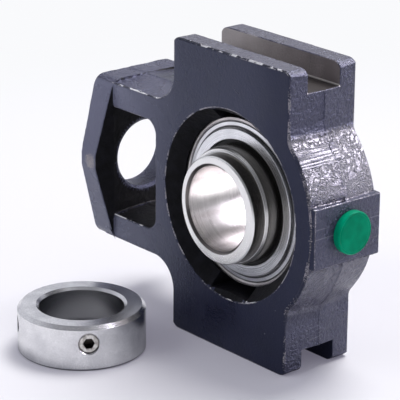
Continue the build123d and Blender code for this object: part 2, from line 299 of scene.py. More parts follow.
# The flat faces are painted paler towards the end plate and higher up, a painted reflection
painted_sheen = times(tree, ramp(tree, at_x, -16 * MM, -62 * MM), 0.9, flat_face)
painted_sheen_tone = blend_colour(tree, ramp(tree, at_z, -14 * MM, 20 * MM), *PAINTED_SHEEN)
colour = blend_colour(tree, painted_sheen, colour, painted_sheen_tone)
# The walls of the arms' rear half are painted almost black, a painted shade
rear = times(
    tree,
    ramp(tree, at_y, -0.6 * MM, 1.4 * MM),
    ramp(tree, at_x, -24 * MM, -27 * MM),
    ramp(tree, at_x, -56 * MM, -44 * MM),
)
colour = blend_colour(tree, times(tree, rear, side, 0.9), colour, PAINTED_REAR_SHADE)
# Paint is worn off the edges in small chips, down to pale primer and bare iron
edge = add(tree, "ShaderNodeAttribute", attribute_name="edge").outputs["Fac"]
chip_size = grain(tree, here, 0.38 * MM, 4.0, 0.6)
chip_place = grain(tree, here, 7 * MM)
chips = maths(tree, "MULTIPLY_ADD", chip_place, 0.8, chip_size)
chips = maths(tree, "ADD", chips, maths(tree, "MULTIPLY_ADD", edge, 0.13, -0.13))
chips = maths(tree, "MULTIPLY", ramp(tree, chips, 0.94, 1.00), edge, clamp=True)
# Along the front's upper edges the chips are long and white, with painted shade between them
upward = maths(tree, "MULTIPLY", ramp(tree, facing_z, 0.2, 0.6), edge, clamp=True)
upward = times(tree, upward, maths(tree, "LESS_THAN", at_y, FRONT_EDGE))
dashes = maths(tree, "MULTIPLY_ADD", chip_place, 0.5, grain(tree, here, 2.6 * MM, 3.0, 0.65))
dashes = times(tree, ramp(tree, dashes, 0.74, 0.80), upward)
colour = blend_colour(tree, times(tree, upward, 0.85), colour, PAINTED_EDGE_SHADE)
bared = blend_colour(tree, dashes, *BARED_EDGE)
chips = maths(tree, "MAXIMUM", dashes, times(tree, chips, maths(tree, "SUBTRACT", 1.0, upward)))
colour = blend_colour(tree, chips, colour, bared)
# A knock has bared the rim of the end plate
knock = ramp(tree, vector_maths(tree, "DISTANCE", here, KNOCK), 4.6 * MM, 1.2 * MM)
knock = maths(tree, "ADD", knock, maths(tree, "MULTIPLY_ADD", chip_size, 3.0, -1.95))
colour = blend_colour(tree, times(tree, ramp(tree, knock, 0.35, 0.6), 0.9), colour, KNOCKED_IRON)
# Specks of bare metal, few and tiny
cells = add(tree, "ShaderNodeTexVoronoi", {"Vector": here, "Scale": 1 / (4.2 * MM), "Randomness": 1.0})
chosen = add(tree, "ShaderNodeSeparateColor", {"Color": cells.outputs["Color"]}).outputs[0]
speck = ramp(tree, cells.outputs["Distance"], 0.065, 0.03)
speck = times(tree, speck, maths(tree, "GREATER_THAN", chosen, 0.72), 0.6)
colour = blend_colour(tree, speck, colour, SPECK_IRON)
# Light scratches along the boss's face
scratch = streaks(tree, here, (900.0, 45.0, 2300.0), tilt=radians(3))
on_boss = maths(tree, "GREATER_THAN", at_x, BOSS_FACE)
scratches = times(tree, ramp(tree, scratch, 0.61, 0.70), on_boss, 0.45)
colour = blend_colour(tree, scratches, colour, SCRATCHED_PAINT)
# File marks on the rail's end, over the lower groove
right_end = times(tree, ramp(tree, facing_x, 0.25, 0.6), maths(tree, "GREATER_THAN", at_x, HUB_SIDE))
tilted = maths(tree, "MULTIPLY_ADD", at_y, -0.16, at_z)
stroke = maths(tree, "SUBTRACT", maths(tree, "FRACT", maths(tree, "DIVIDE", tilted, FILE_STROKE)), 0.5)
filed = ramp(tree, maths(tree, "ABSOLUTE", stroke), 0.16, 0.04)
for value, (low, high) in ((at_z, FILED_HEIGHT), (at_y, FILED_DEPTH)):
    filed = times(tree, filed, maths(tree, "GREATER_THAN", value, low), maths(tree, "LESS_THAN", value, high))
filed = times(tree, filed, ramp(tree, grain(tree, here, 1.4 * MM), 0.4, 0.55), right_end)
colour = blend_colour(tree, times(tree, filed, 0.5), colour, FILED_PAINT)
tree.links.new(colour, shader.inputs["Base Color"])
# The skin is coarse where the sand shows, and finer on the two flat faces
coarse_skin = times(tree, grain(tree, here, 1.1 * MM, 4.0, 0.62), maths(tree, "ADD", side, 0.16))
fine_skin = times(tree, grain(tree, here, 0.45 * MM), 0.14)
skin = maths(tree, "SUBTRACT", maths(tree, "ADD", coarse_skin, fine_skin), times(tree, chips, 0.2))
# The thick paint on the hub's side has dried glossy and in wrinkles. Where a grinder has touched
# the front half, its marks run across instead.
on_hub = times(
    tree,
    right_end,
    ramp(tree, maths(tree, "ABSOLUTE", at_z), *HUB_GLOSS_TOP),
    maths(tree, "SUBTRACT", 1.0, on_boss),
    ramp(tree, at_z, -22 * MM, 6 * MM, 0.3, 1.0),
)
ground = times(
    tree,
    ramp(tree, at_z, GROUND_BAND[0], GROUND_BAND[0] + 0.8 * MM),
    ramp(tree, at_z, GROUND_BAND[1], GROUND_BAND[1] - 0.6 * MM),
    ramp(tree, at_y, 5.5 * MM, 1.5 * MM),
)
stripe = ramp(tree, scratch, 0.38, 0.60)
fold = maths(tree, "ABSOLUTE", maths(tree, "SUBTRACT", grain(tree, here, 3.0 * MM, 4.0, 0.68), 0.5))
striped = maths(tree, "SUBTRACT", times(tree, stripe, 0.05), fold)
fold = maths(tree, "MULTIPLY_ADD", striped, ground, fold)
skin = maths(tree, "ADD", skin, times(tree, ramp(tree, fold, 0.0, 0.07), 0.9, on_hub))
give_bump(tree, shader, skin, 0.6 * MM)
give_bump(tree, shader, skin, 0.25 * MM, "Coat Normal")
glossy = times(tree, on_hub, maths(tree, "MULTIPLY_ADD", times(tree, ground, stripe), -0.75, 1.0))
glossy = maths(tree, "MULTIPLY_ADD", glossy, 0.9, times(tree, right_end, 0.1))
tree.links.new(glossy, shader.inputs["Coat Weight"])
# The flat faces are duller towards the boss, and the chips are dull
dull_and_shade = times(tree, ramp(tree, at_x, 2 * MM, 22 * MM, 0.0, 0.28), flat_face)
shine = maths(tree, "MULTIPLY_ADD", chips, 0.2, ramp(tree, blotches, 0.3, 0.8, 0.25, 0.35))
tree.links.new(maths(tree, "ADD", shine, dull_and_shade), shader.inputs["Roughness"])

# Inside the window and the mouth a matt, dark copy of the paint is used, as painted shade
SHADED_PAINT = ((0.0022, 0.0024, 0.0040, 1), (0.0075, 0.0075, 0.0120, 1))

shaded_paint, tree, shader, place = new_finish("shaded_paint", Roughness=0.6, Specular_IOR_Level=0.22)
here = place.outputs["Object"]
tone = blend_colour(tree, ramp(tree, grain(tree, here, 3 * MM, 3.0), 0.3, 0.7), *SHADED_PAINT)
tree.links.new(tone, shader.inputs["Base Color"])
give_bump(tree, shader, grain(tree, here, 1.1 * MM, 4.0, 0.62), 0.3 * MM)

# The upper groove is bare milled iron. Its walls are darker towards the boss, its floor is dark
# all over, and a bright line runs along the foot of the walls.
GROOVE_WALL = ((0.17, 0.150, 0.155, 1), (0.46, 0.43, 0.435, 1))
DARK_GROOVE_FLOOR = (0.030, 0.024, 0.024, 1)
WALL_FOOT_LINE = (0.85, 0.83, 0.80, 1)

groove_iron, tree, shader, place = new_finish("milled_iron", Roughness=0.5, Metallic=0.25)
here = place.outputs["Object"]
at_x, at_y, at_z = axes(tree, here)
level = axes(tree, place.outputs["Normal"])[2]
wall_paleness = maths(tree, "MULTIPLY_ADD", grain(tree, here, 14 * MM, 3.0), 1.3, -0.65)
wall_paleness = maths(tree, "ADD", ramp(tree, at_x, 24 * MM, -26 * MM), wall_paleness)
fine = maths(tree, "MULTIPLY_ADD", grain(tree, here, 0.5 * MM, 3.0, 0.7), 0.9, -0.45)
tone = blend_colour(tree, maths(tree, "ADD", wall_paleness, fine, clamp=True), *GROOVE_WALL)
tone = blend_colour(tree, ramp(tree, level, 0.5, 0.8), tone, DARK_GROOVE_FLOOR)
foot = ramp(tree, at_z, GROOVE_FLOOR + 0.6 * MM, GROOVE_FLOOR + 0.3 * MM)
tone = blend_colour(tree, times(tree, foot, ramp(tree, level, 0.8, 0.5)), tone, WALL_FOOT_LINE)
tree.links.new(tone, shader.inputs["Base Color"])
give_bump(tree, shader, streaks(tree, here, (2400.0, 500.0, 220.0), 3.0), 0.03 * MM)

cast = bmesh.new()
cast.from_mesh(nodes["housing"].data)
bmesh.ops.remove_doubles(cast, verts=cast.verts, dist=0.001 * MM)
# The ridge and the step along the parting line need edges of their own
for parting in PARTING_RIDGE:
    bmesh.ops.bisect_plane(
        cast,
        geom=cast.verts[:] + cast.edges[:] + cast.faces[:],
        dist=0.0001 * MM,
        plane_co=(0, parting, 0),
        plane_no=(0, 1, 0),
    )
bmesh.ops.triangulate(cast, faces=[face for face in cast.faces if len(face.verts) > 3])
# The walls that the sand shaped are divided finely enough to carry its lumps
for halving in range(HALVINGS):
    cast.normal_update()
    walls = {
        face
        for face in cast.faces
        if abs(face.normal.y) < WALL_TILT and not machined(face.calc_center_median())
    }
    long_edges = [
        edge
        for edge in cast.edges
        if edge.calc_length() > FACET_LIMIT and any(face in walls for face in edge.link_faces)
    ]
    if not long_edges:
        break
    bmesh.ops.subdivide_edges(cast, edges=long_edges, cuts=1)
    bmesh.ops.triangulate(cast, faces=[face for face in cast.faces if len(face.verts) > 3])
cast.normal_update()
wear = cast.faces.layers.float.new("edge")
corners = [
    edge
    for edge in cast.edges
    if len(edge.link_faces) == 2
    and edge.calc_face_angle(0.0) > SHARP
    and edge.calc_length() > 0.3 * MM
    and not in_bearing_seat((edge.verts[0].co + edge.verts[1].co) / 2)
]
broken = bmesh.ops.bevel(
    cast, geom=corners, offset=WORN_EDGE, segments=1, affect="EDGES", clamp_overlap=False
)
for face in broken["faces"]:
    face[wear] = 1.0
bmesh.ops.triangulate(cast, faces=[face for face in cast.faces if len(face.verts) > 3])
cast.normal_update()
for edge in cast.edges:
    edge.smooth = len(edge.link_faces) == 2 and edge.calc_face_angle(0.0) < CREASE
for face in cast.faces:
    face.smooth = True
    centre = face.calc_center_median()
    face.material_index = 0
    if abs(centre.y) < GROOVE_SIDE and centre.z > GROOVE_FLOOR:
        face.material_index = 1
    elif faces_window(centre, face.normal) or in_bearing_seat(centre):
        face.material_index = 2
    if EDGE_TILT[0] < abs(face.normal.y) < EDGE_TILT[1] and not machined(centre):
        face[wear] = 1.0
    if centre.x < PLATE_FACE and (abs(centre.z) > 5 * MM or face.normal.x > 0.2):
        face[wear] = 0.0
    if face[wear] > 0 and MOUTH_RIM[0] < hypot(centre.x, centre.z) < MOUTH_RIM[1] and centre.y < 0:
        face[wear] = MOUTH_WEAR
# Lumps, the ridge along the parting line, and the step where the two halves didn't quite meet
moves = []
for vert in cast.verts:
    if machined(vert.co):
        continue
    wall = 1 - eased(abs(vert.normal.y), 0.25, 0.75)
    if wall > 0 and vert.co.z > FOOT:
        height = sand_lumps(vert.co)
        if vert.co.y < 0.1 * MM:
            height += mould_shift(vert.co)
        if abs(vert.co.y) < 0.2 * MM and vert.co.x > 0:
            height += RIDGE_HEIGHT * (0.75 + 0.5 * noise.noise(vert.co * 300))
        if vert.co.x < ARM_START and abs(vert.normal.z) > 0.8:
            height -= ARM_STEP * (1 - eased(vert.co.y, -0.5 * MM, 0.5 * MM))
        seam = SEAM_WANDER * noise.noise(Vector((vert.co.x, 0.0, vert.co.z)) * 190)
        near_seam = 1 - eased(abs(vert.co.y), 0.5 * MM, 3.0 * MM)
        moves.append((vert, vert.normal * height * wall + Vector((0, seam * near_seam * wall, 0))))
for vert, move in moves:
    vert.co += move
for vert in cast.verts:
    vert.co = [min(max(at, low), high) for at, low, high in zip(vert.co, *cad_box)]
skin_mesh = bpy.data.meshes.new("housing_casting")
cast.to_mesh(skin_mesh)
cast.free()
if "custom_normal" in skin_mesh.attributes:
    skin_mesh.attributes.remove(skin_mesh.attributes["custom_normal"])
for finish in (paint, groove_iron, shaded_paint):
    skin_mesh.materials.append(finish)
casting = level_shading(skin_mesh, "housing_casting")
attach(casting, "housing")
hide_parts("housing")


# Outer ring: through-hardened bearing steel, turned, hardened and ground to a ball outside so
# that it can swivel in the housing. It is slid into the seat edge-on and turned square.
RING_STEPS = 192
EDGE_BREAK = 0.14 * MM
EDGE_SHARE = 0.3
EDGE_STEPS = 3
EDGE_GUARD = 1.35
NEARLY_STRAIGHT = radians(165)
OUTER_BALL = 26.0
PITCH_RADIUS = 19.25
RACE_RADIUS = 4.049
RACE_STEEL = ((0.42, 0.40, 0.41, 1), (0.62, 0.59, 0.59, 1))


def turning_tree():
    """Geometry nodes that turn a flat profile, given as (radius, height), about the Y axis."""
    tree = bpy.data.node_groups.new("turned_piece", "GeometryNodeTree")
    tree.is_modifier = True
    ports = tree.interface
    ports.new_socket("Profile", in_out="INPUT", socket_type="NodeSocketGeometry")
    ports.new_socket("Steps", in_out="INPUT", socket_type="NodeSocketInt")
    ports.new_socket("Finish", in_out="INPUT", socket_type="NodeSocketMaterial")
    ports.new_socket("Piece", in_out="OUTPUT", socket_type="NodeSocketGeometry")
    start, end = tree.nodes.new("NodeGroupInput"), tree.nodes.new("NodeGroupOutput")
    profile, steps, finish = start.outputs["Profile"], start.outputs["Steps"], start.outputs["Finish"]
    count = add(tree, "GeometryNodeAttributeDomainSize", {"Geometry": profile}, component="MESH")
    corners = count.outputs["Point Count"]
    around = maths(tree, "ADD", steps, 1.0)
    rows = maths(tree, "ADD", corners, 1.0)
    sheet = add(tree, "GeometryNodeMeshGrid", {"Vertices X": rows, "Vertices Y": around})
    index = tree.nodes.new("GeometryNodeInputIndex").outputs["Index"]
    row = maths(tree, "FLOOR", maths(tree, "DIVIDE", maths(tree, "ADD", index, 0.5), around))
    column = maths(tree, "SUBTRACT", index, times(tree, row, around))
    corner = maths(tree, "MODULO", row, corners)
    position = tree.nodes.new("GeometryNodeInputPosition").outputs["Position"]
    shift = add(tree, "GeometryNodeInputNamedAttribute", {"Name": "shift"}, data_type="FLOAT_VECTOR")
    at_corner = [
        add(
            tree,
            "GeometryNodeSampleIndex",
            {"Geometry": profile, "Value": value, "Index": corner},
            data_type="FLOAT_VECTOR",
        ).outputs["Value"]
        for value in (position, shift.outputs["Attribute"])
    ]
    radius, height = axes(tree, at_corner[0])[:2]
    angle = times(tree, maths(tree, "DIVIDE", column, steps), 2 * pi)
    across = times(tree, radius, maths(tree, "COSINE", angle))
    up = times(tree, radius, maths(tree, "SINE", angle))
    spot = add(tree, "ShaderNodeCombineXYZ", {"X": across, "Y": height, "Z": up}).outputs["Vector"]
    spot = vector_maths(tree, "ADD", spot, at_corner[1])
    step = add(tree, "GeometryNodeSetPosition", {"Geometry": sheet.outputs["Mesh"], "Position": spot})
    for kind, inputs in (
        ("GeometryNodeMergeByDistance", {"Distance": 0.001 * MM}),
        ("GeometryNodeSetShadeSmooth", {}),
        ("GeometryNodeRealizeInstances", {}),
        ("GeometryNodeSetMaterial", {"Material": finish}),
    ):
        step = add(tree, kind, {"Geometry": step.outputs["Geometry"], **inputs})
    tree.links.new(step.outputs["Geometry"], end.inputs["Piece"])
    return tree


def plain_mesh(shape, name, inputs):
    """Runs a shape's node tree with these inputs and keeps the result as a plain mesh object."""
    modifier = shape.modifiers[0]
    for item in modifier.node_group.interface.items_tree:
        if item.item_type == "SOCKET" and item.in_out == "INPUT" and item.name in inputs:
            modifier[item.identifier] = inputs[item.name]
    made = bpy.data.meshes.new_from_object(shape.evaluated_get(bpy.context.evaluated_depsgraph_get()))
    source = shape.data
    bpy.data.objects.remove(shape)
    bpy.data.meshes.remove(source)
    shell = bmesh.new()
    shell.from_mesh(made)
    bmesh.ops.recalc_face_normals(shell, faces=shell.faces)
    shell.to_mesh(made)
    shell.free()
    return level_shading(made, name)


def broken_edges(corners):
    """A closed profile whose sharp corners are broken by a small round, with a point close to each
    side of it to keep the flats flat. A corner is (radius, height, shift x, shift z, keep sharp)."""
    points = []
    for number, corner in enumerate(corners):
        middle = Vector(corner[:2])
        before = Vector(corners[number - 1][:2]) - middle
        after = Vector(corners[(number + 1) % len(corners)][:2]) - middle
        if corner[4] or before.angle(after) > NEARLY_STRAIGHT:
            points.append((middle, corner[2:4]))
            continue
        reach = min(EDGE_BREAK, EDGE_SHARE * before.length, EDGE_SHARE * after.length)
        first, last = middle + before.normalized() * reach, middle + after.normalized() * reach
        points.append((middle + before.normalized() * reach * EDGE_GUARD, corner[2:4]))
        for step in range(EDGE_STEPS + 1):
            share = step / EDGE_STEPS
            inner = first.lerp(middle, share).lerp(middle.lerp(last, share), share)
            points.append((inner, corner[2:4]))
        points.append((middle + after.normalized() * reach * EDGE_GUARD, corner[2:4]))
    return points


def turned(name, corners, finish, steps=RING_STEPS):
    """A turned piece from its profile, as a plain mesh about the Y axis."""
    points = broken_edges(corners)
    profile = bpy.data.meshes.new(name + "_profile")
    profile.from_pydata([(spot.x, spot.y, 0.0) for spot, shift in points], [], [])
    shifts = profile.attributes.new("shift", "FLOAT_VECTOR", "POINT")
    for number, (spot, shift) in enumerate(points):
        shifts.data[number].vector = (shift[0], 0.0, shift[1])
    shape = bpy.data.objects.new(name + "_profile", profile)
    bpy.context.scene.collection.objects.link(shape)
    shape.modifiers.new("turned", "NODES").node_group = turning
    return plain_mesh(shape, name, {"Steps": steps, "Finish": finish})


def profile_of(*corners, shift=(0.0, 0.0)):
    """Corners given in millimetres as (radius, height), with an optional True to stay sharp. The
    shift, in metres along X and Z, moves them off the axis."""
    return [(radius * MM, height * MM, *shift, any(sharp)) for radius, height, *sharp in corners]


def arc_of(middle, radius, turns, broken_ends=False):
    """Corners along an arc about the point (middle, 0), in millimetres, at these turns in degrees.
    They all stay sharp, except for the two ends where these are to be broken."""
    ends = (turns[0], turns[-1]) if broken_ends else ()
    return [
        (middle + radius * cos(radians(turn)), radius * sin(radians(turn)), turn not in ends)
        for turn in turns
    ]


def ring_marks(tree, here, centre, along, size):
    """Noise that only changes with the distance from an axis and the place along it."""
    from_centre = dict(zip("XYZ", axes(tree, vector_maths(tree, "SUBTRACT", here, centre))))
    height = from_centre.pop(along)
    squares = [maths(tree, "POWER", value, 2.0) for value in from_centre.values()]
    across = maths(tree, "SQRT", maths(tree, "ADD", *squares))
    flat = add(tree, "ShaderNodeCombineXYZ", {"X": across, "Y": height})
    return grain(tree, flat.outputs["Vector"], size, 3.0, 0.6), across


def bright_steel(
    name, tones, roughness, centre=(0.0, 0.0, 0.0), along="Y", line=0.12 * MM, depth=0.004 * MM, streak=1.0
):
    """Steel turned or ground about an axis: two tones, fine rings, and a little uneven shine."""
    steel, tree, shader, place = new_finish(name, Metallic=1.0)
    here = place.outputs["Object"]
    rings, across = ring_marks(tree, here, centre, along, line)
    wash = grain(tree, here, 6 * MM, 3.0)
    tone = maths(tree, "MULTIPLY_ADD", maths(tree, "SUBTRACT", rings, wash), 0.4 * streak, wash)
    bright = blend_colour(tree, ramp(tree, tone, 0.35, 0.65), *tones)
    tree.links.new(bright, shader.inputs["Base Color"])
    shine = maths(tree, "ADD", ramp(tree, rings, 0.3, 0.7, -0.05 * streak, 0.05 * streak), roughness)
    tree.links.new(shine, shader.inputs["Roughness"])
    give_bump(tree, shader, rings, depth)
    return steel, tree, shader, place, across, bright


turning = turning_tree()
race_steel, *_ = bright_steel("race_steel", RACE_STEEL, 0.27)
outer_ring = turned(
    "outer_ring_ground",
    profile_of(
        *arc_of(0.0, OUTER_BALL, (-16.77, -13, -9, -5, 0, 5, 9, 13, 16.77), broken_ends=True),
        (24.1, 7.5), (23.7, 7.1), (23.7, 5.6, True), (22.1, 5.6, True),
        *arc_of(PITCH_RADIUS, RACE_RADIUS, range(45, -46, -9)),
        (22.1, -5.6, True), (23.7, -5.6, True), (23.7, -7.1), (24.1, -7.5),
    ),
    race_steel,
)
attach(outer_ring, "insert")
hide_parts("outer_ring")


# Inner ring: the same steel, longer than the outer ring on both sides. The nose towards the
# viewer is ground off centre, so that the collar, turned on to it, wedges itself to the shaft.
CAM_SHIFT = (0.7727 * MM, -0.2071 * MM)
BORE_WALL = 12.55 * MM
BORE_LANES = 12.8 * MM
BORE_CHAMFER = 13.25 * MM
RING_FACE = 13.4 * MM
OUTSIDE = 14.5 * MM
GROUND_STEEL = ((0.66, 0.65, 0.645, 1), (0.84, 0.83, 0.825, 1))
PAINTED_REFLECTION_BAND = (0.38, 0.35, 0.325, 1)
PAINTED_BORE_SHADE = (0.20, 0.19, 0.18, 1)
DARK_BORE_CHAMFER = (0.10, 0.085, 0.08, 1)
FLANK_DARK_REFLECTION = (0.24, 0.23, 0.21, 1)
PAINTED_FACE_HIGHLIGHT = (0.93, 0.93, 0.93, 1)

ground_steel, tree, shader, place, across, bright = bright_steel(
    "ground_steel", GROUND_STEEL, 0.30, line=0.09 * MM
)
here = place.outputs["Object"]
end_on = axes(tree, place.outputs["Normal"])[1]
# Pale and brownish painted reflection bands run along the bore, with painted shade towards the top
bands = ramp(tree, streaks(tree, here, (240.0, 14.0, 240.0)), 0.42, 0.62)
bands = times(tree, bands, maths(tree, "LESS_THAN", across, BORE_LANES), 0.4)
bright = blend_colour(tree, bands, bright, PAINTED_REFLECTION_BAND)
in_bore = maths(tree, "LESS_THAN", across, BORE_WALL)
dull_and_shade = times(tree, ramp(tree, axes(tree, here)[2], 1 * MM, 8 * MM, 0.0, 0.7), in_bore)
bright = blend_colour(tree, dull_and_shade, bright, PAINTED_BORE_SHADE)
# The bore's chamfer is darker
chamfer = maths(tree, "SUBTRACT", maths(tree, "LESS_THAN", across, BORE_CHAMFER), in_bore)
bright = blend_colour(tree, times(tree, chamfer, 0.9), bright, DARK_BORE_CHAMFER)
# The flanks are painted dark as a painted reflection, while the nose's face and the edge of the step
# behind it are painted brighter as a painted highlight
flank = ramp(tree, maths(tree, "ABSOLUTE", end_on), 0.55, 0.30)
flank = times(tree, flank, maths(tree, "GREATER_THAN", across, OUTSIDE))
bright = blend_colour(tree, flank, bright, FLANK_DARK_REFLECTION)
polished = times(tree, maths(tree, "GREATER_THAN", across, RING_FACE), ramp(tree, end_on, -0.35, -0.5), 0.85)
bright = blend_colour(tree, polished, bright, PAINTED_FACE_HIGHLIGHT)
tree.links.new(bright, shader.inputs["Base Color"])
inner_ring = turned(
    "inner_ring_ground",
    profile_of((12.5, -16.65), (13.3, -17.45))
    + profile_of((15.5, -17.45), (15.9, -17.05), (15.9, -13.05, True), shift=CAM_SHIFT)
    + profile_of(
        (16.7, -13.25), (17.2, -12.2), (17.2, -3.6),
        *arc_of(PITCH_RADIUS, -RACE_RADIUS, range(54, -55, -9)),
        (17.2, 3.6), (17.2, 17.45), (13.3, 17.45), (12.5, 16.65),
    ),
    ground_steel,
)
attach(inner_ring, "inner_ring")
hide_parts("inner_ring")


# Shields: rings of thin bright steel sheet, pressed to a step and a hem, and snapped into the
# outer ring at both faces to keep dirt out.
SHEET_STEEL = ((0.76, 0.77, 0.81, 1), (0.90, 0.91, 0.95, 1))
PAINTED_CREASE_SHADE = (0.03, 0.03, 0.035, 1)
CREASE_RADIUS = 22.25 * MM
HEM_RADIUS = 23.3 * MM
SHIELD_PROFILE = (
    (23.65, 5.6), (23.65, 7.2), (22.2, 7.2), (21.6, 8.2), (18.6, 8.2), (18.6, 7.1),
    (19.2, 7.1), (19.2, 7.6), (21.0, 7.6), (21.6, 6.6), (23.05, 6.6), (23.05, 5.6),
)
ENDS = (("front", -1), ("rear", 1))

sheet_steel, tree, shader, place, across, bright = bright_steel(
    "pressed_sheet", SHEET_STEEL, 0.30, depth=0.0005 * MM
)
# The crease of the step and the hem are painted dark, a painted shade
crease = maths(tree, "ABSOLUTE", maths(tree, "SUBTRACT", across, CREASE_RADIUS))
hem = ramp(tree, across, HEM_RADIUS, HEM_RADIUS + 0.25 * MM)
crease_shade = maths(tree, "MAXIMUM", ramp(tree, crease, 0.34 * MM, 0.12 * MM), hem)
bright = blend_colour(tree, times(tree, crease_shade, 0.85), bright, PAINTED_CREASE_SHADE)
tree.links.new(bright, shader.inputs["Base Color"])
for place_name, way in ENDS:
    corners = profile_of(*[(radius, way * height) for radius, height in SHIELD_PROFILE])
    shield = turned(place_name + "_shield_pressed", corners, sheet_steel)
    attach(shield, "insert")
    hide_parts(place_name + "_shield")


# Seal lips: black nitrile rubber, moulded on behind the hem of each shield, with a thin edge
# that runs beside the inner ring.
RUBBER = ((0.006, 0.006, 0.007, 1), (0.016, 0.016, 0.018, 1))
LIP_PROFILE = ((17.28, 7.1), (17.28, 6.6), (18.6, 6.2), (19.5, 6.2), (19.5, 7.1))

rubber, tree, shader, place = new_finish("seal_rubber", Roughness=0.55)
here = place.outputs["Object"]
tone = blend_colour(tree, ramp(tree, grain(tree, here, 3 * MM, 3.0), 0.3, 0.7), *RUBBER)
tree.links.new(tone, shader.inputs["Base Color"])
give_bump(tree, shader, grain(tree, here, 0.2 * MM), 0.01 * MM)
for place_name, way in ENDS:
    corners = profile_of(*[(radius, way * height, True) for radius, height in LIP_PROFILE])
    lip = turned(place_name + "_lip_moulded", corners, rubber)
    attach(lip, "insert")
    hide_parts(place_name + "_seal_lip")


# Balls and cage: nine polished balls, kept apart by two pressed steel ribbons that are riveted
# to each other between them. The shields hide them all.
BALL_CHROME = ((0.68, 0.68, 0.70, 1), (0.80, 0.80, 0.82, 1))
CAGE_SHEET = ((0.40, 0.39, 0.37, 1), (0.55, 0.53, 0.50, 1))

ball_chrome, *_ = bright_steel("polished_balls", BALL_CHROME, 0.08, depth=0.0005 * MM)
cage_sheet, *_ = bright_steel("cage_sheet", CAGE_SHEET, 0.32)
for name, node in nodes.items():
    if name.startswith("ball_"):
        node.data.materials[0] = ball_chrome
    if name.startswith("cage_"):
        node.data.materials[0] = cage_sheet


# Grease hole plug: injection-moulded green plastic, pushed into the tapped hole of the boss to
# keep it clean until a grease fitting is screwed in.
GREEN = ((0.0, 0.27, 0.14, 1), (0.0, 0.36, 0.195, 1))
PLUG_HEAD = 2.2
PLUG_STEPS = 96
ON_AXIS = 0.001

green, tree, shader, place = new_finish(
    "green_plastic", Roughness=0.38, Specular_IOR_Level=0.06, Specular_Tint=(0.2, 1.0, 0.8, 1.0)
)
here = place.outputs["Object"]
tone = blend_colour(tree, ramp(tree, grain(tree, here, 4 * MM), 0.3, 0.7), *GREEN)
tree.links.new(tone, shader.inputs["Base Color"])
give_bump(tree, shader, grain(tree, here, 0.9 * MM, 3.0), 0.03 * MM)
plug = turned(
    "grease_plug_moulded",
    profile_of(
        (ON_AXIS, PLUG_HEAD, True), (5.2, PLUG_HEAD), (5.55, 2.05), (5.95, PLUG_HEAD), (6.3, 1.85),
        (6.3, 0.0), (2.95, 0.0, True), (2.95, -5.0), (2.45, -5.5), (ON_AXIS, -5.5, True),
    ),
    green,
    PLUG_STEPS,
)
low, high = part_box("grease_plug")
plug_seat = Vector((high.x - PLUG_HEAD * MM, (low.y + high.y) / 2, (low.z + high.z) / 2))
plug.data.transform(Matrix.Translation(plug_seat) @ Matrix.Rotation(radians(-90), 4, "Z"))
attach(plug, "housing")
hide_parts("grease_plug")


# Locking collar: a turned ring of free-cutting steel with an off-centre recess underneath, which
# fits the nose of the inner ring. It has been taken off and stands beside the unit.
COLLAR_STEEL = ((0.74, 0.74, 0.77, 1), (0.92, 0.92, 0.94, 1))
COLLAR_SATIN = (0.45, 0.45, 0.49, 1)
COLLAR_INSIDE = (0.28, 0.285, 0.30, 1)
COLLAR_CONTACT_SHADE = (0.12, 0.12, 0.14, 1)
INSIDE_WALLS = 17.4 * MM

low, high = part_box("locking_collar")
collar_axis = ((low.x + high.x) / 2, (low.y + high.y) / 2, 0.0)
collar_steel, tree, shader, place, across, bright = bright_steel(
    "collar_steel", COLLAR_STEEL, 0.25, collar_axis, "Z", 0.25 * MM, 0.001 * MM, 0.4
)
here = place.outputs["Object"]
satin = ramp(tree, grain(tree, here, 0.3 * MM, 3.0, 0.7), 0.62, 0.40, 0.0, 0.35)
bright = blend_colour(tree, satin, bright, COLLAR_SATIN)
# Inside, the walls are darker
end_on = axes(tree, place.outputs["Normal"])[2]
inside = ramp(tree, maths(tree, "ABSOLUTE", end_on), 0.6, 0.35)
inside = times(tree, inside, maths(tree, "LESS_THAN", across, INSIDE_WALLS))
bright = blend_colour(tree, inside, bright, COLLAR_INSIDE)
# A painted contact shadow darkens the bottom edge, where the collar stands on the floor
foot = ramp(tree, axes(tree, here)[2], low.z + 0.75 * MM, low.z + 0.3 * MM)
tree.links.new(blend_colour(tree, foot, bright, COLLAR_CONTACT_SHADE), shader.inputs["Base Color"])
nodes["locking_collar"].data.materials[0] = collar_steel


# Set screw: hardened steel with a hexagon socket, screwed into the collar's side to bear on the
# shaft. Its end is worn bright round the socket, which is painted black as a painted shade.
SCREW_TURN = radians(-30.7)
SCREW_WAY = Vector((cos(SCREW_TURN), sin(SCREW_TURN), 0.0))
SCREW_FACE = 18.25 * MM
SOCKET_RADIUS = 1.8 * MM
WORN_STEEL = ((0.42, 0.40, 0.38, 1), (0.78, 0.76, 0.73, 1))
SOCKET_SHADE = (0.05, 0.045, 0.04, 1)

screw_steel, tree, shader, place = new_finish("screw_steel", Metallic=1.0, Roughness=0.3)
here = place.outputs["Object"]
low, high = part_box("collar_set_screw")
head = Vector((*collar_axis[:2], (low.z + high.z) / 2)) + SCREW_WAY * SCREW_FACE
sunk = maths(tree, "SUBTRACT", head.dot(SCREW_WAY), vector_maths(tree, "DOT_PRODUCT", here, SCREW_WAY))
from_head = vector_maths(tree, "SUBTRACT", here, head)
off_axis = vector_maths(tree, "LENGTH", vector_maths(tree, "CROSS_PRODUCT", from_head, SCREW_WAY))
# The socket is painted black, a painted shade in the hole
in_socket = maths(tree, "LESS_THAN", off_axis, SOCKET_RADIUS)
in_socket = times(tree, ramp(tree, sunk, 0.15 * MM, 0.7 * MM), in_socket)
wash = grain(tree, here, 1.2 * MM, 3.0)
tone = blend_colour(tree, ramp(tree, wash, 0.35, 0.65), *WORN_STEEL)
tree.links.new(blend_colour(tree, in_socket, tone, SOCKET_SHADE), shader.inputs["Base Color"])
give_bump(tree, shader, wash, 0.02 * MM)
nodes["collar_set_screw"].data.materials[0] = screw_steel


